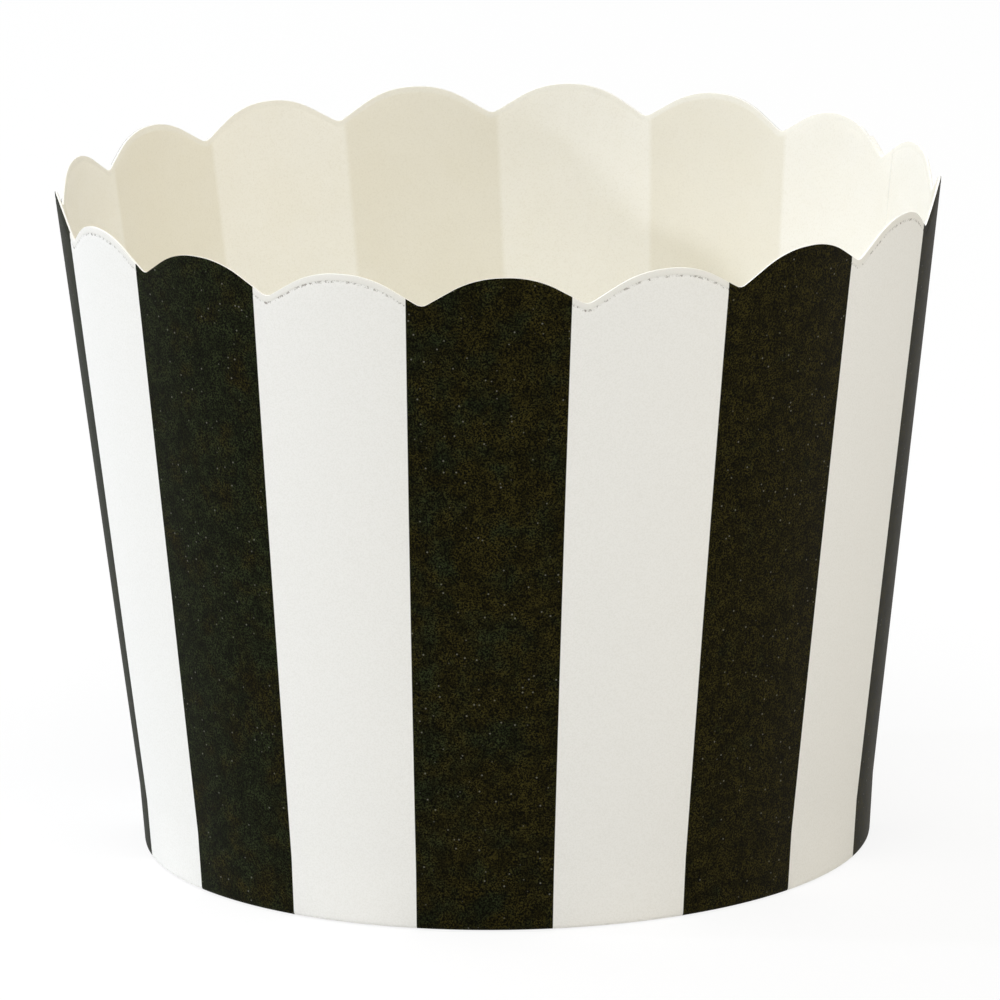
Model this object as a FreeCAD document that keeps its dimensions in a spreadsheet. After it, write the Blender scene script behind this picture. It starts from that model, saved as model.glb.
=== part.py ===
"""Scalloped paper baking cup: a printed side wall wrapped from one sheet, and a recessed base.

Millimetres, +Z up. The origin is at the centre of the foot, on the surface the cup stands on,
and -Y is the front. The side wall is a shallow cone whose top edge is die-cut in scallops. Its
lower edge turns in and up again, and holds the skirt of the base in that fold.
"""
import FreeCAD, Part
import math
import os
import Sketcher

# Driving sizes: millimetres, degrees for a lean or a bearing, and a plain count
SIZES = {
    "rim_radius": 35.0,         # outside of the paper at the crests of the scallops
    "cup_height": 53.4,         # table to crest
    "waist_radius": 29.23,      # outside of the wall where the base meets it
    "base_height": 4.8,         # table to the upper face of the base
    "foot_lean": 4.5,           # lean of the foot below the base, from upright
    "wall_sheet": 0.3,          # paper of the side wall
    "base_sheet": 0.3,          # paper of the base
    "glue_gap": 0.03,           # clearance on each side of the glued skirt
    "fold_radius": 0.45,        # where the wall turns under, seen from outside
    "flange_clearance": 0.7,    # from the free edge of the flange up to the base
    "scallop_count": 17,
    "scallop_depth": 2.3,       # crest to valley
    "crest_flat": 0.4,          # short level stretch on top of each crest
    "flank_length": 2.2,        # straight run between the crest's arc and the valley's
    "valley_radius": 0.8,
    "lap_width": 5.0,           # glued side seam, two sheets thick
    "seam_bearing": 27.13,      # from +X, anticlockwise from above, to the middle of the seam
}

# The foot's lean, and where the sheets lie in the fold, as depths from the outside of the foot
LEAN = "Sizes.foot_lean * 1 deg"
SKIRT_OUTSIDE = "Sizes.wall_sheet + Sizes.glue_gap"
SKIRT_INSIDE = f"{SKIRT_OUTSIDE} + Sizes.base_sheet"
FLANGE_FACE = f"{SKIRT_INSIDE} + Sizes.glue_gap"
FLANGE_BACK = f"{FLANGE_FACE} + Sizes.wall_sheet"

TOUCHING = 0.001                # closer than this counts as on the table

doc = FreeCAD.newDocument("baking_cup")
sizes = doc.addObject("Spreadsheet::Sheet", "Sizes")
for row, (alias, number) in enumerate(SIZES.items(), start=1):
    sizes.set(f"A{row}", alias)
    sizes.set(f"B{row}", str(number))
    sizes.setAlias(f"B{row}", alias)
doc.recompute()


def value(expression):
    """What an expression on the sheet comes to, in millimetres, degrees or as a plain number."""
    result = sizes.evalExpression(expression)
    return float(getattr(result, "Value", result))


def new_body(label):
    body = doc.addObject("PartDesign::Body", label)
    body.Label = label
    body.Placement.Rotation = FreeCAD.Rotation(FreeCAD.Vector(0, 0, 1), value("Sizes.seam_bearing"))
    body.setExpression("Placement.Rotation.Angle", "Sizes.seam_bearing * 1 deg")
    return body


def origin_feature(body, role):
    return next(item for item in body.Origin.OriginFeatures if item.Role == role)


def new_sketch(body, name, role):
    """A sketch on one of the body's own origin planes."""
    sketch = body.newObject("Sketcher::SketchObject", name)
    sketch.AttachmentSupport = [(origin_feature(body, role), "")]
    sketch.MapMode = "FlatFace"
    return sketch


def add_line(sketch, start, end):
    segment = Part.LineSegment(FreeCAD.Vector(*start, 0), FreeCAD.Vector(*end, 0))
    return sketch.addGeometry(segment, False)


def add_arc(sketch, centre, radius, first, last):
    """An arc from the first to the last angle, in degrees, anticlockwise."""
    circle = Part.Circle(FreeCAD.Vector(*centre, 0), FreeCAD.Vector(0, 0, 1), radius)
    arc = Part.ArcOfCircle(circle, math.radians(first), math.radians(last))
    return sketch.addGeometry(arc, False)


def rule(sketch, kind, *places):
    """A constraint without a size, once for each place."""
    for place in places:
        sketch.addConstraint(Sketcher.Constraint(kind, *place))


def measure(sketch, name, kind, place, expression):
    """A named dimension of the sketch that follows an expression on the sheet."""
    index = sketch.addConstraint(Sketcher.Constraint(kind, *place, value(expression)))
    sketch.renameConstraint(index, name)
    sketch.setExpression(f"Constraints.{name}", expression)


def add_outline(sketch, corners):
    """A closed outline of straight lines, each corner given as two expressions on the sheet."""
    points = [(value(across), value(up)) for across, up in corners]
    sides = [add_line(sketch, start, end) for start, end in zip(points, points[1:] + points[:1])]
    for number, (across, up) in enumerate(corners):
        side = sides[number]
        rule(sketch, "Coincident", (sides[number - 1], 2, side, 1))
        if across == "0":
            rule(sketch, "PointOnObject", (side, 1, -2))
        else:
            measure(sketch, f"across_{number}", "DistanceX", (-1, 1, side, 1), across)
        if up == "0":
            rule(sketch, "PointOnObject", (side, 1, -1))
        else:
            measure(sketch, f"up_{number}", "DistanceY", (-1, 1, side, 1), up)


def at_foot(depth, height):
    """A point of the leaning foot, a given depth in from its outside and a given height up."""
    outside = f"Sizes.waist_radius + ({height} - Sizes.base_height) * tan({LEAN})"
    return f"{outside} - ({depth}) / cos({LEAN})", height


def wall_section(body):
    """Half section of the wrapped sheet: wall, foot, the fold under it and the flange inside."""
    sketch = new_sketch(body, "WallSection", "XZ_Plane")
    flange_top = "Sizes.base_height - Sizes.base_sheet - Sizes.flange_clearance"
    add_outline(sketch, [
        at_foot(FLANGE_BACK, "0"),
        at_foot("0", "0"),
        at_foot("0", "Sizes.base_height"),
        ("Sizes.rim_radius", "Sizes.cup_height"),
        ("Sizes.rim_radius - Sizes.wall_sheet", "Sizes.cup_height"),
        at_foot("Sizes.wall_sheet", "Sizes.base_height"),
        at_foot("Sizes.wall_sheet", "Sizes.wall_sheet"),
        at_foot(FLANGE_FACE, "Sizes.wall_sheet"),
        at_foot(FLANGE_FACE, flange_top),
        at_foot(FLANGE_BACK, flange_top),
    ])
    return sketch


def lap_section(body):
    """Half section of the seam's outer layer, sunk half a sheet into the wall it is glued to."""
    sketch = new_sketch(body, "LapSection", "XZ_Plane")
    sunk, proud = "Sizes.wall_sheet / 2", "-Sizes.wall_sheet"
    add_outline(sketch, [
        at_foot(sunk, "Sizes.fold_radius"),
        at_foot(proud, "Sizes.fold_radius"),
        at_foot(proud, "Sizes.base_height"),
        ("Sizes.rim_radius + Sizes.wall_sheet", "Sizes.cup_height"),
        ("Sizes.rim_radius - Sizes.wall_sheet / 2", "Sizes.cup_height"),
        at_foot(sunk, "Sizes.base_height"),
    ])
    return sketch


def notch_outline(body):
    """What the die takes away between two crests, seen from outside: arc, flank, arc, flank, arc."""
    sketch = new_sketch(body, "NotchOutline", "YZ_Plane")
    half_span = ("Sizes.rim_radius * sin(180 deg / Sizes.scallop_count)"
                 " - Sizes.crest_flat / 2")
    valley_centre = "Sizes.cup_height - Sizes.scallop_depth + Sizes.valley_radius"
    blank_top = "Sizes.cup_height + Sizes.scallop_depth"
    reach, crest, top = value(half_span), value("Sizes.cup_height"), value(blank_top)
    depth, straight = value("Sizes.scallop_depth"), value("Sizes.flank_length")
    valley_arc = value("Sizes.valley_radius")
    both_arcs = (reach ** 2 + depth ** 2 - straight ** 2) / (2 * depth)
    crest_arc = both_arcs - valley_arc
    low, high = value(valley_centre), crest - crest_arc
    flank = math.atan2(reach, low - high) - math.atan2(straight, both_arcs)
    turn = math.degrees(flank)

    def on_circle(centre_x, centre_y, radius, side):
        return centre_x + side * radius * math.sin(flank), centre_y + radius * math.cos(flank)

    right_foot = on_circle(0, low, -valley_arc, -1)
    left_foot = on_circle(0, low, -valley_arc, 1)
    right_crest = add_arc(sketch, (reach, high), crest_arc, 90, 90 + turn)
    right_flank = add_line(sketch, on_circle(reach, high, crest_arc, -1), right_foot)
    valley = add_arc(sketch, (0, low), valley_arc, 270 - turn, 270 + turn)
    left_flank = add_line(sketch, left_foot, on_circle(-reach, high, crest_arc, 1))
    left_crest = add_arc(sketch, (-reach, high), crest_arc, 90 - turn, 90)
    left_side = add_line(sketch, (-reach, crest), (-reach, top))
    lid = add_line(sketch, (-reach, top), (reach, top))
    right_side = add_line(sketch, (reach, top), (reach, crest))

    rule(sketch, "Tangent",
         (right_crest, 2, right_flank, 1), (right_flank, 2, valley, 2),
         (valley, 1, left_flank, 1), (left_flank, 2, left_crest, 1))
    rule(sketch, "Coincident",
         (left_crest, 2, left_side, 1), (left_side, 2, lid, 1), (lid, 2, right_side, 1),
         (right_side, 2, right_crest, 1))
    rule(sketch, "Vertical", (left_side,), (right_side,),
         (right_crest, 3, right_crest, 1), (left_crest, 3, left_crest, 2))
    rule(sketch, "Horizontal", (lid,))
    rule(sketch, "PointOnObject", (valley, 3, -2))
    rule(sketch, "Symmetric", (left_crest, 2, right_crest, 1, -2))
    rule(sketch, "Equal", (left_crest, right_crest))
    measure(sketch, "half_span", "DistanceX", (-1, 1, right_crest, 1), half_span)
    measure(sketch, "crest_height", "DistanceY", (-1, 1, right_crest, 1), "Sizes.cup_height")
    measure(sketch, "valley_centre", "DistanceY", (-1, 1, valley, 3), valley_centre)
    measure(sketch, "blank_top", "DistanceY", (-1, 1, lid, 1), blank_top)
    measure(sketch, "flank", "Distance", (right_flank,), "Sizes.flank_length")
    measure(sketch, "valley_arc", "Radius", (valley,), "Sizes.valley_radius")
    return sketch


def base_section(body):
    """Half section of the base: a flat disc, and the skirt that goes down into the fold."""
    sketch = new_sketch(body, "BaseSection", "XZ_Plane")
    underside = "Sizes.base_height - Sizes.base_sheet"
    skirt_end = "Sizes.wall_sheet + Sizes.glue_gap"
    add_outline(sketch, [
        ("0", underside),
        at_foot(SKIRT_INSIDE, underside),
        at_foot(SKIRT_INSIDE, skirt_end),
        at_foot(SKIRT_OUTSIDE, skirt_end),
        at_foot(SKIRT_OUTSIDE, "Sizes.base_height"),
        ("0", "Sizes.base_height"),
    ])
    return sketch


def revolve(body, name, sketch):
    """A revolution of the sketch about the body's upright axis."""
    feature = body.newObject("PartDesign::Revolution", name)
    feature.Profile = sketch
    feature.ReferenceAxis = (origin_feature(body, "Z_Axis"), [""])
    feature.Angle = 360
    doc.recompute()
    return feature


def round_foot(body, wrap):
    """The rounded turn at the bottom of the wall: the widest edge that touches the table."""
    on_table = [(edge.Curve.Radius, number) for number, edge in enumerate(wrap.Shape.Edges, 1)
                if edge.BoundBox.ZMax < TOUCHING and hasattr(edge.Curve, "Radius")]
    turn = body.newObject("PartDesign::Fillet", "FootTurn")
    turn.Base = (wrap, [f"Edge{max(on_table)[1]}"])
    turn.Radius = value("Sizes.fold_radius")
    turn.setExpression("Radius", "Sizes.fold_radius")
    doc.recompute()


def add_seam_lap(body):
    """The outer layer of the glued seam, the same to both sides of the body's XZ plane."""
    lap_angle = "Sizes.lap_width / Sizes.rim_radius * 180 deg / pi"
    lap = revolve(body, "SeamLap", lap_section(body))
    lap.Midplane = True
    lap.Angle = value(lap_angle)
    lap.setExpression("Angle", lap_angle)
    doc.recompute()
    return lap


def cut_scallops(body, wall):
    """One notch through the wall at the seam, and its copies round the rim."""
    notch = body.newObject("PartDesign::Pocket", "Notch")
    notch.Profile = notch_outline(body)
    notch.Type = "ThroughAll"
    notch.Reversed = True
    doc.recompute()
    if notch.Shape.Volume >= wall.Shape.Volume:
        raise RuntimeError("the notch takes nothing off the rim")
    scallops = body.newObject("PartDesign::PolarPattern", "Scallops")
    scallops.Originals = [notch]
    scallops.Axis = (origin_feature(body, "Z_Axis"), [""])
    scallops.Angle = 360
    scallops.Occurrences = int(value("Sizes.scallop_count"))
    scallops.setExpression("Occurrences", "Sizes.scallop_count")
    body.Tip = scallops


def make_side_wall():
    """The wrapped and printed sheet, with its fold, its glued seam and its die-cut scallops."""
    body = new_body("side_wall")
    wrap = revolve(body, "Wrap", wall_section(body))
    round_foot(body, wrap)
    cut_scallops(body, add_seam_lap(body))
    return body


def make_base():
    """The base: one disc of paper with its rim turned down as a skirt."""
    body = new_body("base_disc")
    revolve(body, "Base", base_section(body))
    return body


def check(bodies):
    """Stop if anything failed to build."""
    for item in doc.Objects:
        if {"Invalid", "Error"} & set(item.State):
            raise RuntimeError(f"{item.Name} did not build: {item.State}")
    for body in bodies:
        if body.Shape.isNull() or not body.Shape.isValid() or len(body.Shape.Solids) != 1:
            raise RuntimeError(f"{body.Label} is not one sound solid")


bodies = [make_side_wall(), make_base()]
doc.recompute()
check(bodies)
os.makedirs("parts", exist_ok=True)
for body in bodies:
    body.Shape.exportStep(f"parts/{body.Label}.step")
    print(f"{body.Label}: {body.Shape.Volume:.1f} mm3, {body.Shape.Area:.1f} mm2")
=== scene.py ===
# %% [markdown]
# # A scalloped paper baking cup
#
# A stiff paper cup for one muffin: a printed side wall with a scalloped rim, wrapped to a cone
# and glued along a seam, and a base disc that is held in the folded foot.
#
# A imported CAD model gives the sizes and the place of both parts. This lesson builds what the eye
# sees over it: the paper's edges, its print and its finish. Lengths are in metres throughout.

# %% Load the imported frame
import math

import bmesh
import bpy
from mathutils import Matrix, Quaternion, Vector


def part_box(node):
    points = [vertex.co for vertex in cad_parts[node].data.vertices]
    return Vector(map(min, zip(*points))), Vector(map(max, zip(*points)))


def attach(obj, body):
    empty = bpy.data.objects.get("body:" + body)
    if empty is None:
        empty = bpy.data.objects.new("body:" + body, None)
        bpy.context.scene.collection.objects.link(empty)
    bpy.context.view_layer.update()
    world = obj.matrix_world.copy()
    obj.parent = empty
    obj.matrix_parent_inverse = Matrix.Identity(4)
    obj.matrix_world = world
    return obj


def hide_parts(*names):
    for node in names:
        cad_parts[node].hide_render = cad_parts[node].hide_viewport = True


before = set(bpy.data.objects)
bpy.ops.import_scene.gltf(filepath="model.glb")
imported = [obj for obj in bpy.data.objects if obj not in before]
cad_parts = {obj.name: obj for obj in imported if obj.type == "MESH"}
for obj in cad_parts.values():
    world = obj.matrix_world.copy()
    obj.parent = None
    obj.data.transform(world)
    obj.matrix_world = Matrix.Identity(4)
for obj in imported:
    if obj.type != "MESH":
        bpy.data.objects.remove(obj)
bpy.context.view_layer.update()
MM = 0.001
for node in ("side_wall", "base_disc"):
    low, high = ([round(v / MM, 2) for v in corner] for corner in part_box(node))
    print(node, "from", low, "to", high)

# %% [markdown]
# ## The camera
#
# The photograph was taken with a long lens, from a little above the rim, so the cup looks almost
# free of perspective. A camera can be placed by eye, but here it was fitted: the distance, height
# and three small turns below are the ones that put the rim, the stripes and the foot where the
# photograph has them. A camera looks along its own -Z axis, with +Y up in the picture.

# %% Place the camera
CAMERA_DISTANCE = 1.044748
CAMERA_ELEVATION = math.radians(14.196)
CAMERA_TARGET = Vector((0, 0, 26 * MM))
CAMERA_YAW, CAMERA_PITCH, CAMERA_ROLL = (math.radians(a) for a in (0.0105, 0.0648, 0.858))
CAMERA_LENS, CAMERA_SENSOR = 474.59, 36

toward_camera = Vector((0, -math.cos(CAMERA_ELEVATION), math.sin(CAMERA_ELEVATION)))
ahead, right = -toward_camera, Vector((1, 0, 0))
upward = right.cross(ahead)
ahead, right = (Quaternion(upward, CAMERA_YAW) @ v for v in (ahead, right))
ahead, upward = (Quaternion(right, CAMERA_PITCH) @ v for v in (ahead, upward))
right, upward = (Quaternion(ahead, CAMERA_ROLL) @ v for v in (right, upward))

camera = bpy.data.objects.new("camera", bpy.data.cameras.new("camera"))
camera.data.lens = CAMERA_LENS
camera.data.sensor_width = CAMERA_SENSOR
turned = Matrix((right, upward, -ahead)).transposed().to_4x4()
camera.matrix_world = Matrix.Translation(CAMERA_TARGET + toward_camera * CAMERA_DISTANCE) @ turned
bpy.context.scene.collection.objects.link(camera)
bpy.context.scene.camera = camera
print("camera at", [round(v, 4) for v in camera.matrix_world.translation])

# %% [markdown]
# ## Writing node trees in code
#
# A node tree is a recipe: each node takes some numbers or geometry and hands on its result.
# Wiring it by hand in the editor is fine for a few nodes. In a script, a small helper keeps it
# readable: it adds a node, sets its options, and fills each input with a number or a link.

# %% A helper for node trees
class Recipe:
    """Adds nodes to a tree, and joins them."""

    def __init__(self, tree):
        self.tree = tree

    def fill(self, socket, value):
        """Give a socket a number, or link another node's output to it."""
        if isinstance(value, bpy.types.NodeSocket):
            self.tree.links.new(value, socket)
        else:
            socket.default_value = value

    def node(self, kind, inputs=(), **settings):
        """A new node with these settings and inputs, whose outputs are read by name."""
        made = self.tree.nodes.new(kind)
        for name, value in settings.items():
            setattr(made, name, value)
        for name, value in dict(inputs).items():
            found = made.inputs[name] if isinstance(name, int) else next(
                s for s in made.inputs if s.name == name and s.enabled)
            self.fill(found, value)
        return made

    def math(self, operation, *values):
        """One sum, such as ADD or SINE, of numbers or other nodes' outputs."""
        return self.node("ShaderNodeMath", dict(enumerate(values)), operation=operation).outputs[0]

    def ramp(self, value, low, high, to_low=0.0, to_high=1.0):
        """Turns the range from low to high into another one, smoothly, and clamps it."""
        inputs = {"Value": value, "From Min": low, "From Max": high,
                  "To Min": to_low, "To Max": to_high}
        made = self.node("ShaderNodeMapRange", inputs, interpolation_type="SMOOTHSTEP")
        return made.outputs["Result"]


# %% [markdown]
# ## The print
#
# The wall is printed in 17 equal stripes, white and black in turn. As 17 is odd, two white
# stripes meet where the ends of the sheet overlap. On the real cup the stripes are straight, and
# lean a few degrees off the cone's own lines, because the sheet was printed before it was cut.
# They also drift by about a degree round the cup, as wrapping a sheet is never quite even.
#
# An image could carry the print. A formula is sharper at any distance and needs no UV map: the
# angle round the axis, less the lean at that height, is counted in stripes, and odd ones are ink.

# %% Count the stripes
STRIPES = 17
PRINT_START = math.radians(112.674)
PRINT_LEAN = math.radians(2.529)
PRINT_DRIFT = math.radians(0.65)
RIM_HEIGHT = 53.4 * MM


def stripe_mask(recipe, blur):
    """1 on the black stripes and 0 on the white ones. The blur is a share of two stripes. Also
    gives the Object coordinates that it was worked out from."""
    place = recipe.node("ShaderNodeTexCoord").outputs["Object"]
    axes = recipe.node("ShaderNodeSeparateXYZ", {0: place}).outputs
    bearing = recipe.math("ARCTAN2", axes["X"], recipe.math("MULTIPLY", axes["Y"], -1.0))
    start = recipe.math(
        "MULTIPLY_ADD", recipe.math("COSINE", bearing), -PRINT_DRIFT, PRINT_START + PRINT_DRIFT)
    start = recipe.math("MULTIPLY_ADD", axes["Z"], PRINT_LEAN / RIM_HEIGHT, start)
    past_start = recipe.math("SUBTRACT", bearing, start)
    turns = recipe.math("FRACT", recipe.math("DIVIDE", past_start, math.tau))
    pair = recipe.math("FRACT", recipe.math("MULTIPLY_ADD", turns, STRIPES / 2, 0.25))
    from_middle = recipe.math("ABSOLUTE", recipe.math("SUBTRACT", pair, 0.5))
    mask = recipe.ramp(recipe.math("SUBTRACT", from_middle, 0.25), -blur, blur)
    # The blur would draw a grey line where the two white stripes meet, so none is kept there.
    half_on = recipe.math("FRACT", recipe.math("ADD", turns, 0.5))
    from_meeting = recipe.math("ABSOLUTE", recipe.math("SUBTRACT", half_on, 0.5))
    off_meeting = recipe.math("GREATER_THAN", from_meeting, 0.5 / STRIPES)
    return recipe.math("MULTIPLY", mask, off_meeting), place


print(STRIPES, "stripes of", round(360 / STRIPES, 2), "degrees each")

# %% [markdown]
# ## The papers
#
# Every surface here is the same stiff board: its outside is coated and printed, its inside is
# bare and cream, and its cut edge is white. What tells them apart is small: the coat's soft
# sheen, the ink's mottling and pin-sized gaps, the fibres of the board. Each is a noise of its
# own size, mixed into the colour, the roughness or the bump.

# %% Helpers for paper finishes
def new_finish(name):
    """A material with its tree emptied, a Principled shader joined to the output, its recipe."""
    made = bpy.data.materials.new(name)
    made.use_nodes = True
    made.node_tree.nodes.clear()
    recipe = Recipe(made.node_tree)
    shader = recipe.node("ShaderNodeBsdfPrincipled")
    recipe.node("ShaderNodeOutputMaterial", {"Surface": shader.outputs[0]})
    return made, recipe, shader


def grain(recipe, place, size, detail=3.0, rough=0.6):
    """Noise with lumps of about this size, from 0 to 1."""
    inputs = {"Vector": place, "Scale": 1 / size, "Detail": detail, "Roughness": rough}
    return recipe.node("ShaderNodeTexNoise", inputs).outputs["Fac"]


def mix(recipe, amount, first, second, how="MIX"):
    """Blends two colours, and leaves the first where the amount is 0."""
    made = recipe.node("ShaderNodeMix", data_type="RGBA", blend_type=how)
    # A Mix node has a set of sockets for each kind of data. These are its colour ones.
    for number, value in ((0, amount), (6, first), (7, second)):
        recipe.fill(made.inputs[number], value)
    return made.outputs[2]


FIBRE, WAVE = 0.25 * MM, 1.6 * MM


def fibres(recipe, shader, place, strength):
    """The board's fine surface: short fibres and slow waves, as bump."""
    waves = recipe.math("MULTIPLY", grain(recipe, place, WAVE), 2.0)
    lumps = recipe.math("ADD", grain(recipe, place, FIBRE, 5.0, 0.65), waves)
    inputs = {"Height": lumps, "Strength": strength, "Distance": 0.02 * MM}
    recipe.fill(shader.inputs["Normal"], recipe.node("ShaderNodeBump", inputs).outputs[0])


# %% The ink of the printed outside: worn in fine grain, with a tone that wanders, and a painted tint from green at the left to brown at the right
BLACK_INK = (0.0008, 0.0008, 0.0003, 1)
WORN_GREEN_COOL_LIT, WORN_BROWN_WARM_LIT = (0.0245, 0.0320, 0.0120, 1), (0.0375, 0.0310, 0.0065, 1)
SIDE_TINT_DRIFT = 0.16 / (22 * MM)
SPECK, SPECK_SPACING = (0.36, 0.35, 0.29, 1), 0.8 * MM

printed, recipe, shader = new_finish("printed board")
ink, place = stripe_mask(recipe, 0.0012)
fine = recipe.ramp(grain(recipe, place, 0.14 * MM, 2.0, 0.8), 0.42, 0.62)
patches = recipe.ramp(grain(recipe, place, 1.1 * MM), 0.35, 0.65)
worn = recipe.math("MULTIPLY", fine, recipe.math("MULTIPLY_ADD", patches, 0.55, 0.45))
side = recipe.node("ShaderNodeSeparateXYZ", {0: place}).outputs["X"]
# Painted light: the tint drifts from green at the left, under the cool lamps, to brown at the
# right, under the warm fill. The noise adds a tone that wanders at random.
tone_and_side_tint = recipe.math("MULTIPLY_ADD", side, SIDE_TINT_DRIFT, grain(recipe, place, 2.6 * MM))
worn_ink_and_side_tint = mix(recipe, recipe.ramp(tone_and_side_tint, 0.28, 0.58), WORN_GREEN_COOL_LIT, WORN_BROWN_WARM_LIT)
black = mix(recipe, worn, BLACK_INK, worn_ink_and_side_tint)
cells = {"Vector": place, "Scale": 1 / SPECK_SPACING}
from_speck = recipe.node("ShaderNodeTexVoronoi", cells).outputs["Distance"]
black = mix(recipe, recipe.ramp(from_speck, 0.04, 0.12, 0.34, 0.0), black, SPECK)
print("black ink:", len(printed.node_tree.nodes), "nodes so far")

# %% The coat, the line that the die pressed below the rim, and a painted shade on the band above that line
WHITE_COAT, GREY_COAT = (0.850, 0.844, 0.812, 1), (0.700, 0.690, 0.640, 1)
RIM_SHADE_COAT, RIM_FLECK = (0.775, 0.760, 0.705, 1), (0.17, 0.14, 0.11, 1)
CRUSH_LINE = 0.62 * MM


def depth_below_rim(recipe):
    """How far below the rim a point is, from the attribute that the wall's mesh carries."""
    return recipe.node("ShaderNodeAttribute", attribute_name="below_rim").outputs["Fac"]


below_rim = depth_below_rim(recipe)
white = mix(recipe, recipe.math("MULTIPLY", fine, 0.28), WHITE_COAT, GREY_COAT)
# Painted shade: the coat is greyed in the band between the rim and the pressed line.
rim_shade_band = recipe.ramp(below_rim, CRUSH_LINE - 0.15 * MM, CRUSH_LINE, 0.65, 0.0)
white = mix(recipe, rim_shade_band, white, RIM_SHADE_COAT)
off_line = recipe.math("ABSOLUTE", recipe.math("SUBTRACT", below_rim, CRUSH_LINE))
on_line = recipe.ramp(off_line, 0.04 * MM, 0.15 * MM, 1.0, 0.0)
flecks = recipe.ramp(grain(recipe, place, 0.30 * MM, 4.0, 0.8), 0.51, 0.59, 0.03, 0.75)
white = mix(recipe, recipe.math("MULTIPLY", on_line, flecks), white, RIM_FLECK)

recipe.fill(shader.inputs["Base Color"], mix(recipe, ink, white, black))
recipe.fill(shader.inputs["Roughness"], recipe.ramp(fine, 0, 1, 0.50, 0.60))
shader.inputs["Specular IOR Level"].default_value = 0.035
shader.inputs["Specular Tint"].default_value = (1.0, 0.97, 0.70, 1)
fibres(recipe, shader, place, 0.22)
print(printed.name, "has", len(printed.node_tree.nodes), "nodes")

# %% The bare inside, where the black stripes show through, with a painted shade just below the rim
CREAM, DEEP_CREAM = (0.893, 0.878, 0.818, 1), (0.868, 0.846, 0.765, 1)
SHOW_THROUGH = (0.920, 0.905, 0.862, 1)
RIM_SHADE_CREAM = (0.80, 0.785, 0.715, 1)
FIBRE_SPECK = (0.62, 0.58, 0.47, 1)


def finish_cream(recipe, shader, place, colour, speckle, smoothest):
    """Gives a cream paper its specks, its uneven roughness and its fibres."""
    recipe.fill(shader.inputs["Base Color"], mix(recipe, speckle, colour, FIBRE_SPECK))
    uneven = recipe.ramp(grain(recipe, place, 0.9 * MM), 0.3, 0.7, smoothest, smoothest + 0.14)
    recipe.fill(shader.inputs["Roughness"], uneven)
    shader.inputs["Specular IOR Level"].default_value = 0.25
    fibres(recipe, shader, place, 0.30)


bare, recipe, shader = new_finish("bare board")
behind, place = stripe_mask(recipe, 0.012)
clouds = recipe.ramp(grain(recipe, place, 6 * MM), 0.35, 0.7, 0.0, 0.5)
cream = mix(recipe, clouds, CREAM, DEEP_CREAM)
cream = mix(recipe, behind, cream, SHOW_THROUGH, "MULTIPLY")
# Painted shade: the inside is darkened in a thin band just below the rim.
inside_rim_shade = recipe.ramp(depth_below_rim(recipe), 0.35 * MM, 0.6 * MM, 0.75, 0.0)
cream = mix(recipe, inside_rim_shade, cream, RIM_SHADE_CREAM)
speckle = recipe.ramp(grain(recipe, place, 0.15 * MM, 2.0, 0.8), 0.48, 0.66, 0.0, 0.16)
finish_cream(recipe, shader, place, cream, speckle, 0.52)
print(bare.name, "has", len(bare.node_tree.nodes), "nodes")

# %% The base's paper, and the white cut edge
BASE_CREAM, BASE_DEEP = (0.835, 0.820, 0.760, 1), (0.810, 0.788, 0.712, 1)
EDGE_WHITE, EDGE_TORN = (0.88, 0.875, 0.845, 1), (0.80, 0.785, 0.73, 1)

plain, recipe, shader = new_finish("plain board")
place = recipe.node("ShaderNodeTexCoord").outputs["Object"]
clouds = recipe.ramp(grain(recipe, place, 5 * MM), 0.35, 0.7, 0.0, 0.6)
speckle = recipe.ramp(grain(recipe, place, 0.4 * MM, 5.0, 0.7), 0.62, 0.74, 0.0, 0.12)
cream = mix(recipe, clouds, BASE_CREAM, BASE_DEEP)
finish_cream(recipe, shader, place, cream, speckle, 0.50)

cut_edge, recipe, shader = new_finish("cut board edge")
place = recipe.node("ShaderNodeTexCoord").outputs["Object"]
torn = recipe.ramp(grain(recipe, place, 0.18 * MM, 4.0, 0.7), 0.40, 0.72)
recipe.fill(shader.inputs["Base Color"], mix(recipe, torn, EDGE_WHITE, EDGE_TORN))
recipe.fill(shader.inputs["Roughness"], recipe.ramp(torn, 0, 1, 0.75, 0.9))
shader.inputs["Specular IOR Level"].default_value = 0.15
fibres(recipe, shader, place, 0.6)
print("papers:", [m.name for m in (printed, bare, plain, cut_edge)])

# %% [markdown]
# ## The sections
#
# Both parts are folded from sheet, and each is the same all the way round but for its rim and
# seam. So each starts as a section: the outline that a knife would show, cut from the axis
# outwards. Distances are (radius, height). The wall's section runs down the outside, round the
# foot, up the flange that hides in the recess, and up the inside.
#
# A section could be drawn as a curve. A list of corners, each with a rounding and the weights
# that the next step needs, is easier to check against the CAD sizes.

# %% Sizes of the sheet and the foot
SHEET = 0.3 * MM
RIM_RADIUS, WAIST_RADIUS = 35.0 * MM, 29.23 * MM
WAIST = 4.8 * MM
WALL_SLOPE = (RIM_RADIUS - WAIST_RADIUS) / (RIM_HEIGHT - WAIST)
FOOT_LEAN = math.radians(4.5)
GLUE = 0.03 * MM
FLANGE_FACE = 2 * (SHEET + GLUE)
FLANGE_BACK = FLANGE_FACE + SHEET
FLANGE_TOP = WAIST - SHEET - 0.7 * MM


def at_foot(depth, height):
    """A point this deep inside the foot's outer face, at this height."""
    face = WAIST_RADIUS - (WAIST - height) * math.tan(FOOT_LEAN)
    return face - depth / math.cos(FOOT_LEAN), height


def on_wall(depth, below):
    """A point this deep inside the wall's outer face, this far below the rim."""
    return RIM_RADIUS - below * WALL_SLOPE - depth, RIM_HEIGHT - below


print("foot radius on the table", round(at_foot(0, 0)[0] / MM, 2), "mm")

# %% A helper that rounds corners and adds rows
PRINTED, EDGE, BARE = 0, 1, 2
DEGREES_PER_STEP = 22.5


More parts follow.
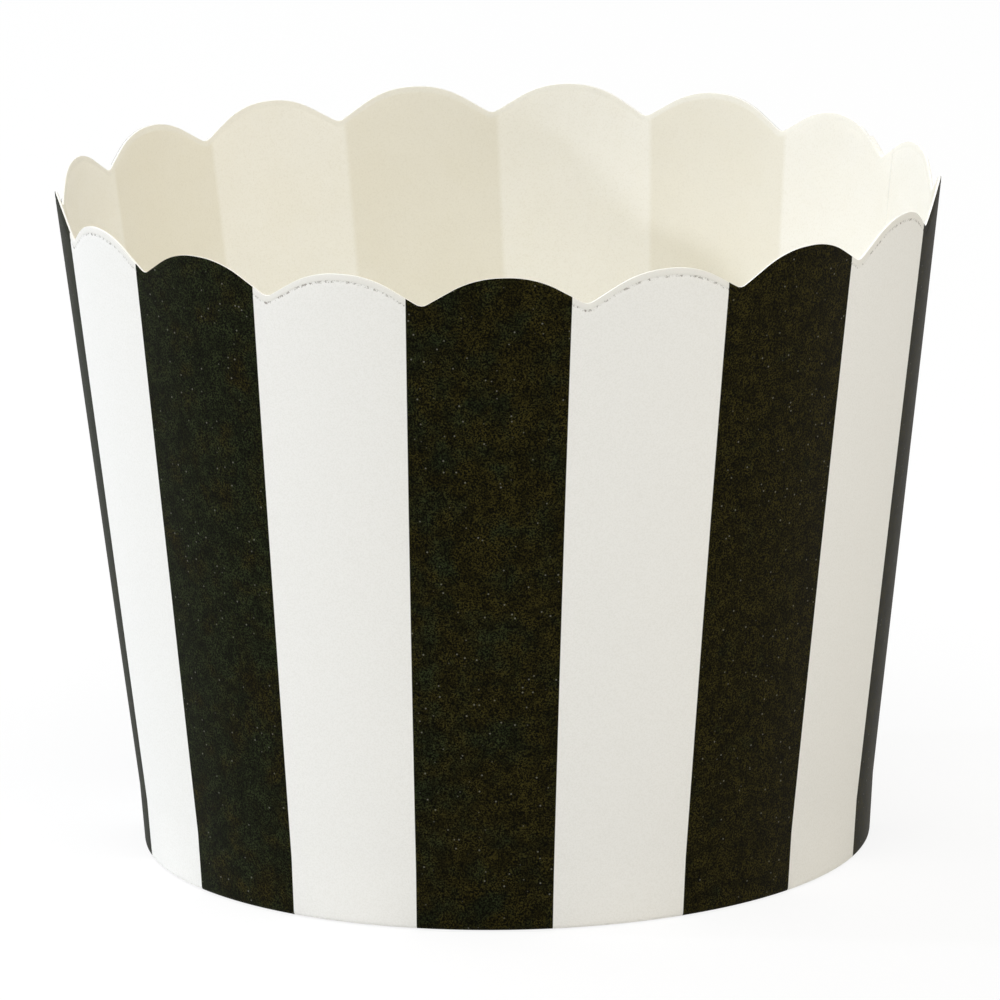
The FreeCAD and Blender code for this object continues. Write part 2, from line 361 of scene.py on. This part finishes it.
def section(corners):
    """Corners are (point, rounding, rows to the next corner, surface there, weights). Gives the
    points of the section, each with its surface and weights."""
    spots = [Vector(c[0]) for c in corners]
    count, result = len(corners), []
    for i, (_, rounding, rows, surface, weights) in enumerate(corners):
        here, before, after = spots[i], spots[i - 1], spots[(i + 1) % count]
        came, goes = (here - before).normalized(), (after - here).normalized()
        turn = came.angle(goes) if came.length and goes.length else 0.0
        room = 0.49 * min((here - before).length, (after - here).length)
        reach = min(rounding * math.tan(turn / 2), room)
        steps = max(1, round(math.degrees(turn) / DEGREES_PER_STEP)) if reach > 1e-7 else 0
        start, end = here - came * reach, here + goes * reach
        for k in range(steps + 1):
            t = k / steps if steps else 0
            spot = start * (1 - t) ** 2 + here * 2 * t * (1 - t) + end * t ** 2
            result.append((spot, surface, weights))
        last, following = result[-1][0], corners[(i + 1) % count][4]
        for k in range(1, rows):
            t = k / rows
            between = [a + (b - a) * t for a, b in zip(weights, following)]
            result.append((last.lerp(after, t), surface, between))
    return result


# %% The side wall's section
# The weights are: lap outside, lap inside, give of the paper, ribs of the foot. The die that cuts
# the scallops crushes the rim a little, so the edge is thinner than the sheet.
CRUSH = 0.03 * MM
WALL_ROWS = 26
OUTSIDE, STILL, RIBBED = (1, 0, 1, 0), (0, 0, 0, 0), (0, 0, 0, 1)
SEAM_INSIDE = 0.12
wall_section = section([
    (on_wall(CRUSH, 0), 0.04 * MM, 2, PRINTED, OUTSIDE),
    (on_wall(0, 0.45 * MM), 0.05 * MM, 1, PRINTED, OUTSIDE),
    (on_wall(CRUSH, 0.60 * MM), 0.05 * MM, 1, PRINTED, OUTSIDE),
    (on_wall(0, 0.74 * MM), 0.05 * MM, 1, PRINTED, OUTSIDE),
    (on_wall(0, 1.2 * MM), 0, WALL_ROWS, PRINTED, OUTSIDE),
    (at_foot(0, WAIST), 1.5 * MM, 4, PRINTED, (1, 0, 0.5, 0)),
    (at_foot(0, 0.62 * MM), 0, 1, PRINTED, (1, 0, 0, 0)),
    (at_foot(0, 0), 0.45 * MM, 2, PRINTED, STILL),
    (at_foot(FLANGE_BACK, 0), 0.12 * MM, 1, PRINTED, STILL),
    (at_foot(FLANGE_BACK, 0.5 * MM), 0, 5, PRINTED, RIBBED),
    (at_foot(FLANGE_BACK, FLANGE_TOP - 0.2 * MM), 0, 1, PRINTED, RIBBED),
    (at_foot(FLANGE_BACK, FLANGE_TOP), 0.06 * MM, 1, EDGE, STILL),
    (at_foot(FLANGE_FACE, FLANGE_TOP), 0.06 * MM, 2, BARE, STILL),
    (at_foot(FLANGE_FACE, SHEET), 0.05 * MM, 1, BARE, STILL),
    (at_foot(SHEET, SHEET), 0.05 * MM, 2, BARE, STILL),
    (at_foot(SHEET, WAIST), 0, 1, BARE, STILL),
    (on_wall(SHEET, RIM_HEIGHT - WAIST - 0.5 * MM), 0, WALL_ROWS, BARE, (0, SEAM_INSIDE, 0.5, 0)),
    (on_wall(SHEET, 0.5 * MM), 0.1 * MM, 1, BARE, (0, SEAM_INSIDE, 1, 0)),
    (on_wall(SHEET - 2.5 * CRUSH, 0), 0.04 * MM, 2, EDGE, (0, SEAM_INSIDE, 1, 0)),
])
print("side wall:", len(wall_section), "points in the section")

# %% The base disc's section
# The base is dished a little, and has a pressed ring where a plug pushed it into the foot.
SKIRT = SHEET + GLUE
DISH, DISH_RADIUS = 0.20 * MM, 25.5 * MM
RING, RING_AT, RING_WIDTH = 0.22 * MM, 24.4 * MM, 0.9 * MM
RADII = [0, 2, 5, 9, 13, 17, 20, 21.5, 22.3, 22.8, 23.2, 23.6, 24.0, 24.4, 24.8, 25.2, 25.6,
         26.0, 26.5, 27.2]


def dished(radius, height):
    """A point of the base's flat part, lowered by the dish and the ring."""
    middle = DISH * max(0.0, 1 - (radius / DISH_RADIUS) ** 2)
    return radius, height - middle - RING * math.exp(-((radius - RING_AT) / RING_WIDTH) ** 2)


base_section = section(
    [(dished(r * MM, WAIST), 0, 1, BARE, STILL) for r in RADII]
    + [
        (at_foot(SKIRT, WAIST), 0.45 * MM, 4, BARE, STILL),
        (at_foot(SKIRT, SKIRT), 0.05 * MM, 1, EDGE, STILL),
        (at_foot(SKIRT + SHEET, SKIRT), 0.05 * MM, 4, BARE, STILL),
        (at_foot(SKIRT + SHEET, WAIST - SHEET), 0.12 * MM, 1, BARE, STILL),
    ]
    + [(dished(r * MM, WAIST - SHEET), 0, 1, BARE, STILL) for r in reversed(RADII)]
)
print("base disc:", len(base_section), "points in the section")

# %% [markdown]
# ## Rolling a section into a cup
#
# The scallops and the seam break the symmetry, so a plain Spin would not do. Modelling 17
# scallops by hand would be slow and uneven. Their shape is a rule, which suits Geometry Nodes:
#
# 1. a grid gets one row for each point of the section and one column for each step round;
# 2. each of its points looks up its radius and height in the section;
# 3. the wall above the waist is pressed down to the height of the scalloped edge there;
# 4. near the seam, the outer layer lies one sheet further out, and ends in a cut edge;
# 5. a slow noise lets the paper give a little, always inwards.

# %% Scallop sizes that follow from each other
SCALLOPS = 17
SCALLOP_DEPTH, CREST_FLAT, FLANK, VALLEY_RADIUS = 2.3 * MM, 0.4 * MM, 2.2 * MM, 0.8 * MM
half_pitch = RIM_RADIUS * math.sin(math.pi / SCALLOPS) - CREST_FLAT / 2
both_arcs = (half_pitch ** 2 + SCALLOP_DEPTH ** 2 - FLANK ** 2) / (2 * SCALLOP_DEPTH)
CREST_RADIUS = both_arcs - VALLEY_RADIUS
FLANK_ANGLE = (math.atan2(half_pitch, both_arcs - SCALLOP_DEPTH)
               - math.atan2(FLANK, both_arcs))
print("crest radius", round(CREST_RADIUS / MM, 2), "mm, flanks at",
      round(math.degrees(FLANK_ANGLE), 1), "degrees")

# %% The tree's named inputs
tree = bpy.data.node_groups.new("rolled sheet", "GeometryNodeTree")
tree.interface.new_socket("Geometry", in_out="INPUT", socket_type="NodeSocketGeometry")
tree.interface.new_socket("Geometry", in_out="OUTPUT", socket_type="NodeSocketGeometry")
COLUMNS = 48 * SCALLOPS
STEP = math.tau / COLUMNS
VALLEY_BEARING = math.radians(117.13)
LAP_COLUMNS = 16
SIZES = {
    "Columns": COLUMNS,
    "Closed": 1,
    "Rim height": RIM_HEIGHT,
    "Waist height": WAIST,
    "Wall slope": WALL_SLOPE,
    "Scallops": float(SCALLOPS),
    "Scallop depth": SCALLOP_DEPTH,
    "Valley bearing": VALLEY_BEARING,
    "Valley radius": VALLEY_RADIUS,
    "Crest radius": CREST_RADIUS,
    "Half pitch": half_pitch,
    "Flank angle": FLANK_ANGLE,
    "Seam bearing": VALLEY_BEARING + (LAP_COLUMNS + 1) / 2 * STEP,
    "Lap columns": LAP_COLUMNS,
    "Sheet": SHEET,
    "Give": 0.14 * MM,
    "Ribs": 0.05 * MM,
}
socket_ids = {}
for name, value in SIZES.items():
    kind = "NodeSocketInt" if isinstance(value, int) else "NodeSocketFloat"
    socket = tree.interface.new_socket(name, in_out="INPUT", socket_type=kind)
    socket.default_value = value
    socket_ids[name] = socket.identifier
print(len(socket_ids), "inputs:", ", ".join(socket_ids))

# %% Rows and columns: each grid point finds its place
roll = Recipe(tree)
given = roll.node("NodeGroupInput").outputs
index = roll.node("GeometryNodeInputIndex").outputs[0]
domain_size = roll.node("GeometryNodeAttributeDomainSize", {"Geometry": given["Geometry"]})
points = domain_size.outputs["Point Count"]
columns = roll.math("ADD", given["Columns"], 1.0)
grid = roll.node("GeometryNodeMeshGrid", {
    "Size X": 1.0, "Size Y": 1.0,
    "Vertices X": roll.math("ADD", points, given["Closed"]), "Vertices Y": columns})
row = roll.math("FLOOR", roll.math("DIVIDE", index, columns))
column = roll.math("SUBTRACT", index, roll.math("MULTIPLY", row, columns))
column = roll.math("MODULO", column, given["Columns"])
row = roll.math("MODULO", row, points)


def looked_up(value, place, kind="FLOAT"):
    """A value of the section, read at one of its points."""
    inputs = {"Geometry": given["Geometry"], "Value": value, "Index": place}
    made = roll.node("GeometryNodeSampleIndex", inputs, data_type=kind, domain="POINT")
    return made.outputs[0]


def attribute(name):
    """A named attribute of the geometry that it is read on."""
    inputs = {"Name": name}
    return roll.node("GeometryNodeInputNamedAttribute", inputs, data_type="FLOAT").outputs[0]


def weight(name):
    """One of the section's named weights, at this grid point's row."""
    return looked_up(attribute(name), row)


section_place = roll.node("GeometryNodeInputPosition").outputs[0]
spot = roll.node("ShaderNodeSeparateXYZ", {
    0: looked_up(section_place, row, "FLOAT_VECTOR")}).outputs
radius, height = spot["X"], spot["Z"]

# %% Bearings: the columns on each side of a cut edge are drawn close together
EDGE_WIDTH = math.radians(0.03)
step = roll.math("DIVIDE", math.tau, given["Columns"])


def from_edge(angle, edge):
    """The signed angle from an edge, between minus and plus half a turn."""
    half_on = roll.math("ADD", roll.math("SUBTRACT", angle, edge), math.pi)
    turns = roll.math("FRACT", roll.math("DIVIDE", half_on, math.tau))
    return roll.math("MULTIPLY_ADD", turns, math.tau, -math.pi)


def drawn_close(angle, edge):
    """Moves the two columns beside an edge right up to it."""
    away = from_edge(angle, edge)
    reach = roll.math("MULTIPLY", step, 0.6)
    near = roll.math("LESS_THAN", roll.math("ABSOLUTE", away), reach)
    goal = roll.math("MULTIPLY", roll.math("SIGN", away), EDGE_WIDTH)
    return roll.math("MULTIPLY_ADD", near, roll.math("SUBTRACT", goal, away), angle)


outer_end = given["Seam bearing"]
lap = roll.math("MULTIPLY", given["Lap columns"], step)
inner_end = roll.math("SUBTRACT", outer_end, lap)
bearing = roll.math("MULTIPLY_ADD", roll.math("ADD", column, 0.5), step, outer_end)
bearing = drawn_close(drawn_close(bearing, outer_end), inner_end)

# %% The scalloped height: valley arc, straight flank, crest arc, flat crest
pitch = roll.math("DIVIDE", math.tau, given["Scallops"])
scallop = roll.math("DIVIDE", roll.math("SUBTRACT", bearing, given["Valley bearing"]), pitch)
scallop = roll.math("SUBTRACT", roll.math("FRACT", roll.math("ADD", scallop, 0.5)), 0.5)
from_valley = roll.math("SINE", roll.math("MULTIPLY", scallop, pitch))
sideways = roll.math("ABSOLUTE", roll.math("MULTIPLY", radius, from_valley))


def arc_rise(curve_radius, across):
    """How far an arc has left its tangent, this far across from where they touch."""
    squares = roll.math(
        "SUBTRACT", roll.math("POWER", curve_radius, 2.0), roll.math("POWER", across, 2.0))
    root = roll.math("SQRT", roll.math("MAXIMUM", squares, 0.0))
    return roll.math("SUBTRACT", curve_radius, root)


def drop_in_valley(across):
    """How far below the crest the valley's arc is, this far from its middle."""
    return roll.math("SUBTRACT", given["Scallop depth"], arc_rise(given["Valley radius"], across))


def choose(test, yes, no):
    """One of two numbers."""
    inputs = {"Switch": test, "False": no, "True": yes}
    return roll.node("GeometryNodeSwitch", inputs, input_type="FLOAT").outputs[0]


sine = roll.math("SINE", given["Flank angle"])
tangent = roll.math("TANGENT", given["Flank angle"])
valley_end = roll.math("MULTIPLY", given["Valley radius"], sine)
crest_arc = roll.math("MULTIPLY", given["Crest radius"], sine)
crest_start = roll.math("SUBTRACT", given["Half pitch"], crest_arc)
to_crest = roll.math("MAXIMUM", roll.math("SUBTRACT", given["Half pitch"], sideways), 0.0)
drop_crest = arc_rise(given["Crest radius"], to_crest)
flank_rise = roll.math("MULTIPLY", roll.math("SUBTRACT", sideways, valley_end), tangent)
drop_flank = roll.math("SUBTRACT", drop_in_valley(valley_end), flank_rise)
past_valley = choose(roll.math("LESS_THAN", sideways, crest_start), drop_flank, drop_crest)
in_valley = roll.math("LESS_THAN", sideways, valley_end)
drop = choose(in_valley, drop_in_valley(sideways), past_valley)

# %% Press the wall above the waist down to that height
above = roll.math("MAXIMUM", roll.math("SUBTRACT", height, given["Waist height"]), 0.0)
wall_height = roll.math("SUBTRACT", given["Rim height"], given["Waist height"])
pressed = roll.math("MULTIPLY", drop, roll.math("DIVIDE", above, wall_height))
new_height = roll.math("SUBTRACT", height, pressed)
radius = roll.math("SUBTRACT", radius, roll.math("MULTIPLY", pressed, given["Wall slope"]))

# %% The seam: the outer layer leaves the wall, crosses the inner end and stops
SLIDE = math.radians(2.4)


def layer_rise(end, reach):
    """1 from reach before an end up to it, and a soft rise to that just before."""
    away = from_edge(bearing, end)
    begins = roll.math("SUBTRACT", 0.0, roll.math("ADD", reach, SLIDE))
    rise = roll.ramp(away, begins, roll.math("SUBTRACT", 0.0, reach))
    return roll.math("MULTIPLY", rise, roll.math("LESS_THAN", away, 0.0))


rise_outside = roll.math("MULTIPLY", layer_rise(outer_end, lap), weight("lap_outside"))
rise_inside = roll.math("MULTIPLY", layer_rise(inner_end, 0.0), weight("lap_inside"))
rise = roll.math("ADD", rise_outside, rise_inside)
radius = roll.math("MULTIPLY_ADD", rise, given["Sheet"], radius)

# %% The paper's give, and the ribs that the folding tool leaves in the foot
WAVES_ROUND, WAVES_UP = 1.6, 28.0
across = roll.math("SINE", bearing)
along = roll.math("MULTIPLY", roll.math("COSINE", bearing), -1.0)
sheet_place = roll.node("ShaderNodeCombineXYZ", {
    "X": roll.math("MULTIPLY", across, WAVES_ROUND),
    "Y": roll.math("MULTIPLY", along, WAVES_ROUND),
    "Z": roll.math("MULTIPLY", new_height, WAVES_UP)}).outputs[0]
slow = roll.node("ShaderNodeTexNoise", {"Vector": sheet_place, "Scale": 1.0, "Detail": 2.0})
give = roll.math("MULTIPLY", slow.outputs["Fac"], weight("give"))
give = roll.math("MULTIPLY", give, given["Give"])
wave = roll.math("COSINE", roll.math("MULTIPLY", column, math.pi / 2))
ribs = roll.math("MULTIPLY", roll.math("MULTIPLY_ADD", wave, 0.5, 0.5), weight("ribs"))
ribs = roll.math("MULTIPLY", ribs, given["Ribs"])
radius = roll.math("SUBTRACT", radius, roll.math("ADD", give, ribs))

# %% Mark each point's depth below the rim, and each face's surface
below = roll.math("SUBTRACT", given["Rim height"], height)
marked = roll.node("GeometryNodeStoreNamedAttribute", {
    "Geometry": grid.outputs["Mesh"], "Name": "below_rim", "Value": below},
    data_type="FLOAT", domain="POINT")
face_row = roll.math("FLOOR", roll.math("DIVIDE", index, given["Columns"]))
face_column = roll.math("SUBTRACT", index, roll.math("MULTIPLY", face_row, given["Columns"]))
surface = looked_up(attribute("surface"), face_row)


def cut_column(from_last, on_surface):
    """1 on the faces of one surface, in the column that stands on a cut edge."""
    number = roll.math("SUBTRACT", given["Columns"], from_last)
    there = roll.math("COMPARE", face_column, number, 0.5)
    return roll.math("MULTIPLY", there, roll.math("COMPARE", surface, float(on_surface), 0.5))


outer_cut = cut_column(1.0, PRINTED)
inner_cut = cut_column(roll.math("ADD", given["Lap columns"], 1.0), BARE)
surface = choose(roll.math("MAXIMUM", outer_cut, inner_cut), float(EDGE), surface)
faced = roll.node("GeometryNodeStoreNamedAttribute", {
    "Geometry": marked.outputs[0], "Name": "finish", "Value": surface},
    data_type="FLOAT", domain="FACE")

# %% Put the points in place, and close the seams of the grid
WELD = 0.002 * MM
rolled_place = roll.node("ShaderNodeCombineXYZ", {
    "X": roll.math("MULTIPLY", radius, across),
    "Y": roll.math("MULTIPLY", radius, along),
    "Z": new_height}).outputs[0]
moved = roll.node("GeometryNodeSetPosition", {
    "Geometry": faced.outputs[0], "Position": rolled_place})
merged = roll.node("GeometryNodeMergeByDistance", {
    "Geometry": moved.outputs[0], "Distance": WELD})

# %% Shade it, realize it, and give each surface its paper
CRISP_ANGLE = math.radians(40)
edge_angle = roll.node("GeometryNodeInputMeshEdgeAngle").outputs["Unsigned Angle"]
smooth = roll.node("GeometryNodeSetShadeSmooth", {
    "Geometry": merged.outputs[0], "Shade Smooth": True}, domain="FACE")
crisp = roll.node("GeometryNodeSetShadeSmooth", {
    "Geometry": smooth.outputs[0], "Shade Smooth": False,
    "Selection": roll.math("GREATER_THAN", edge_angle, CRISP_ANGLE)}, domain="EDGE")
papered = roll.node("GeometryNodeRealizeInstances", {"Geometry": crisp.outputs[0]})
finish = attribute("finish")
for number, paper in ((PRINTED, printed), (EDGE, cut_edge), (BARE, bare)):
    papered = roll.node("GeometryNodeSetMaterial", {
        "Geometry": papered.outputs[0],
        "Selection": roll.math("COMPARE", finish, float(number), 0.5)})
    papered.inputs["Material"].default_value = paper
roll.node("NodeGroupOutput", {"Geometry": papered.outputs[0]})
print("the tree has", len(tree.nodes), "nodes")


# %% A helper that rolls a section and keeps the plain mesh
def rolled(name, outline, **sizes):
    """A closed object made by the tree from a section, with its modifier applied."""
    mesh = bpy.data.meshes.new(name + "_section")
    edges = [(i, i + 1) for i in range(len(outline) - 1)]
    mesh.from_pydata([(spot.x, 0, spot.y) for spot, _, _ in outline], edges, [])
    carried = {"surface": [float(surface) for _, surface, _ in outline]}
    for number, key in enumerate(("lap_outside", "lap_inside", "give", "ribs")):
        carried[key] = [float(weights[number]) for _, _, weights in outline]
    for key, values in carried.items():
        mesh.attributes.new(key, "FLOAT", "POINT").data.foreach_set("value", values)
    made = bpy.data.objects.new(name, mesh)
    bpy.context.scene.collection.objects.link(made)
    modifier = made.modifiers.new("roll", "NODES")
    modifier.node_group = tree
    for key, value in sizes.items():
        modifier[socket_ids[key.replace("_", " ")]] = value
    bpy.context.view_layer.update()
    evaluated = made.evaluated_get(bpy.context.evaluated_depsgraph_get())
    made.data = bpy.data.meshes.new_from_object(evaluated)
    made.modifiers.clear()
    made.data.name = name
    return made


def measure(piece):
    """Prints a piece's size, volume and any open edge."""
    shape = bmesh.new()
    shape.from_mesh(piece.data)
    open_edges = sum(not e.is_manifold for e in shape.edges)
    triangles = sum(len(f.verts) - 2 for f in shape.faces)
    volume = shape.calc_volume(signed=True) / MM ** 3
    box = [[round(pick(v.co[i] for v in shape.verts) / MM, 3) for i in range(3)]
           for pick in (min, max)]
    shape.free()
    print(piece.name, triangles, "triangles,", open_edges, "open edges,",
          round(volume, 1), "mm3, box", *box)


# %% Roll the side wall
striped_wall = rolled("striped_side_wall", wall_section)
measure(striped_wall)

# %% Roll the base disc, with no scallops, seam or ribs
base_cup = rolled("recessed_base", base_section, Columns=COLUMNS // 2, Closed=0,
                  Scallop_depth=0.0, Sheet=0.0, Give=0.0, Ribs=0.0)
for slot in base_cup.material_slots:
    if slot.material in (bare, printed):
        slot.material = plain
measure(base_cup)

# %% [markdown]
# ## Floor and light
#
# The photograph has a pure white ground. More light would reach it, but would bleach the paper
# too. So the floor and the world are lit plainly, and only rays from the camera, or mirrored in
# something, see them as white. The floor keeps a share of its real shading, so the cup still
# has its shadow.
#
# The lamps follow the photograph: a small one at the left draws the soft shadow edge inside the
# cup, two large ones behind and above it fill that side, one lights the front, and a weak warm
# one comes from the right.

# %% The floor
WHITE_SHARE = 0.86
FLOOR_REACH, FLOOR_DROP = 4, 0.1 * MM
corners = [(x * FLOOR_REACH, y * FLOOR_REACH, 0) for x, y in ((-1, -1), (1, -1), (1, 1), (-1, 1))]
mesh = bpy.data.meshes.new("floor")
mesh.from_pydata(corners, [], [(0, 1, 2, 3)])
floor = bpy.data.objects.new("floor", mesh)
floor.location.z = -FLOOR_DROP
bpy.context.scene.collection.objects.link(floor)

ground = bpy.data.materials.new("white ground")
ground.use_nodes = True
ground.node_tree.nodes.clear()
recipe = Recipe(ground.node_tree)


def seen_directly(recipe):
    """1 for rays from the camera and for mirrored or refracted ones."""
    rays = recipe.node("ShaderNodeLightPath").outputs
    mirrored = recipe.math("MAXIMUM", rays["Is Glossy Ray"], rays["Is Transmission Ray"])
    return recipe.math("MAXIMUM", rays["Is Camera Ray"], mirrored)


matt = recipe.node("ShaderNodeBsdfDiffuse", {"Color": (0.86, 0.86, 0.86, 1)})
bright = recipe.node("ShaderNodeEmission", {"Color": (1, 1, 1, 1), "Strength": 1.0})
share = recipe.math("MULTIPLY", seen_directly(recipe), WHITE_SHARE)
blend = recipe.node("ShaderNodeMixShader", {0: share, 1: matt.outputs[0], 2: bright.outputs[0]})
recipe.node("ShaderNodeOutputMaterial", {"Surface": blend.outputs[0]})
floor.data.materials.append(ground)

# %% The world
WORLD_LIGHT = 0.24
world = bpy.data.worlds.new("studio")
bpy.context.scene.world = world
world.use_nodes = True
world.node_tree.nodes.clear()
recipe = Recipe(world.node_tree)
strength = recipe.math("MULTIPLY_ADD", seen_directly(recipe), 1.0 - WORLD_LIGHT, WORLD_LIGHT)
sky = recipe.node("ShaderNodeBackground", {"Color": (1, 1, 1, 1), "Strength": strength})
recipe.node("ShaderNodeOutputWorld", {"Surface": sky.outputs[0]})

# %% The lamps: name, place, width, power and colour
LAMP_AIM = Vector((0, 0, 0.03))
LAMPS = [
    ("low window", (-0.932, 0.061, 0.387), 0.06, 3.2, (0.84, 0.885, 1.0)),
    ("high window", (-0.64, 0.0, 0.80), 0.6, 1.0, (0.91, 0.96, 1.0)),
    ("window behind", (-0.50, 0.50, 0.74), 0.6, 4.1, (0.92, 0.965, 1.0)),
    ("front", (0.0, -0.47, 0.91), 0.6, 7.2, (1.0, 0.98, 0.935)),
    ("fill", (0.94, 0.0, 0.37), 0.6, 1.95, (1.0, 0.88, 0.66)),
]
for name, place, width, power, colour in LAMPS:
    lamp = bpy.data.lights.new(name, "AREA")
    lamp.size, lamp.energy, lamp.color = width, power, colour
    made = bpy.data.objects.new(name, lamp)
    made.location = place
    made.rotation_euler = (LAMP_AIM - Vector(place)).to_track_quat("-Z", "Y").to_euler()
    bpy.context.scene.collection.objects.link(made)
bpy.context.scene.view_settings.view_transform = "Standard"
print(len(LAMPS), "lamps of", round(sum(lamp[3] for lamp in LAMPS), 2), "watts together")

# %% [markdown]
# ## Hand over
#
# Each piece rides on the body that the CAD parts belong to, and stands for one of them. The boxes
# of the CAD parts are printed at the start, and those of the pieces after they are rolled.

# %% Tie the pieces to the frame
for piece, node, paper in ((striped_wall, "side_wall", "printed_paper"),
                           (base_cup, "base_disc", "plain_paper")):
    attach(piece, "root")
    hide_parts(node)
